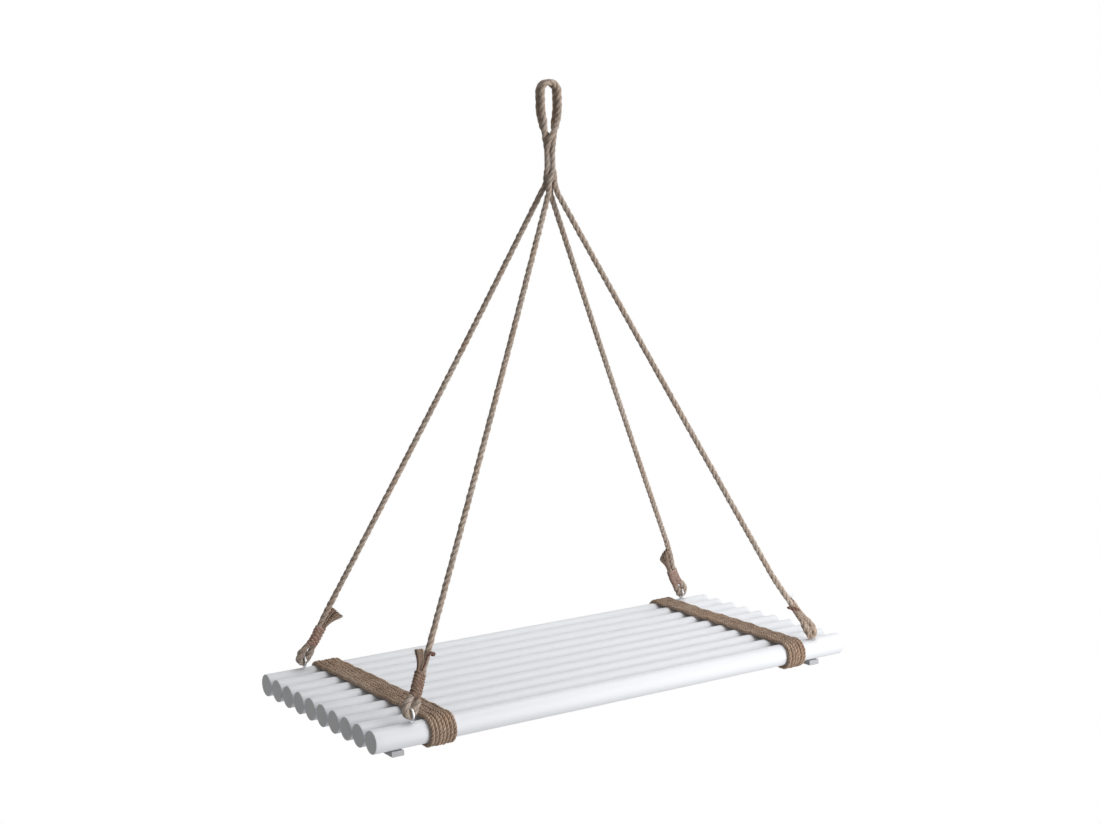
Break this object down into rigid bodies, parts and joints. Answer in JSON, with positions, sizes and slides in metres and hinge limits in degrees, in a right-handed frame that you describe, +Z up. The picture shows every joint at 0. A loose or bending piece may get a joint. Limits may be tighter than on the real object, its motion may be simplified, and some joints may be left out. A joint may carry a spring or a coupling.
{
  "type": "hanging rope shelf",
  "caption": "Hanging shelf: a deck of round white dowels bound by cord bands, slung from one rope loop by rope legs with screw eyes.",
  "frame": {"origin": "the inside top of the rope loop, where it bears on the hook that holds the shelf up", "axes": "+Z up, +X along the dowels to the right, +Y to the back of the shelf"},
  "size_m": [0.71, 0.3259, 0.7786],
  "materials": {
    "white_paint": "satin white paint on turned wood",
    "jute_rope": "three-strand twisted jute, matt and hairy",
    "jute_cord": "twisted jute cord, matt, reddish brown",
    "brown_yarn": "thin waxed yarn, reddish brown",
    "zinc_steel": "bright zinc plate"
  },
  "bodies": {
    "hook_bights": {"rope_bight_front": "jute_rope", "rope_bight_back": "jute_rope"},
    "loop": {"loop_strand_front_left": "jute_rope", "loop_strand_back_left": "jute_rope", "loop_strand_front_right": "jute_rope", "loop_strand_back_right": "jute_rope"},
    "neck": {"neck_strand_front_left": "jute_rope", "neck_strand_back_left": "jute_rope", "neck_strand_front_right": "jute_rope", "neck_strand_back_right": "jute_rope"},
    "cradle": {"neck_seizing": "brown_yarn", "rope_leg_front_left": "jute_rope", "rope_leg_back_left": "jute_rope", "rope_leg_front_right": "jute_rope", "rope_leg_back_right": "jute_rope", "whipping_front_left": "brown_yarn", "whipping_back_left": "brown_yarn", "whipping_front_right": "brown_yarn", "whipping_back_right": "brown_yarn", "screw_eye_front_left": "zinc_steel", "screw_eye_back_left": "zinc_steel", "screw_eye_front_right": "zinc_steel", "screw_eye_back_right": "zinc_steel", "band_left": "jute_cord", "band_right": "jute_cord", "dowel_01": "white_paint", "dowel_02": "white_paint", "dowel_03": "white_paint", "dowel_04": "white_paint", "dowel_05": "white_paint", "dowel_06": "white_paint", "dowel_07": "white_paint", "dowel_08": "white_paint", "dowel_09": "white_paint", "dowel_10": "white_paint", "batten_left": "white_paint", "batten_right": "white_paint", "screw_left_01": "zinc_steel", "screw_left_02": "zinc_steel", "screw_left_03": "zinc_steel", "screw_left_04": "zinc_steel", "screw_left_05": "zinc_steel", "screw_left_06": "zinc_steel", "screw_left_07": "zinc_steel", "screw_left_08": "zinc_steel", "screw_left_09": "zinc_steel", "screw_left_10": "zinc_steel", "screw_right_01": "zinc_steel", "screw_right_02": "zinc_steel", "screw_right_03": "zinc_steel", "screw_right_04": "zinc_steel", "screw_right_05": "zinc_steel", "screw_right_06": "zinc_steel", "screw_right_07": "zinc_steel", "screw_right_08": "zinc_steel", "screw_right_09": "zinc_steel", "screw_right_10": "zinc_steel"}
  },
  "joints": [
    {"name": "swing_front_to_back", "type": "hinge", "parent": "hook_bights", "child": "loop", "pos_m": [0, 0, -0.0087], "axis": [1, 0, 0], "range_deg": [-30, 30]},
    {"name": "swing_lengthwise", "type": "hinge", "parent": "loop", "child": "neck", "pos_m": [0, 0, -0.074], "axis": [0, 1, 0], "range_deg": [-30, 30]},
    {"name": "turn_on_rope", "type": "hinge", "parent": "neck", "child": "cradle", "pos_m": [0, 0, -0.1], "axis": [0, 0, 1], "range_deg": [-90, 90], "stiffness_Nm_per_rad": 0.05}
  ]
}
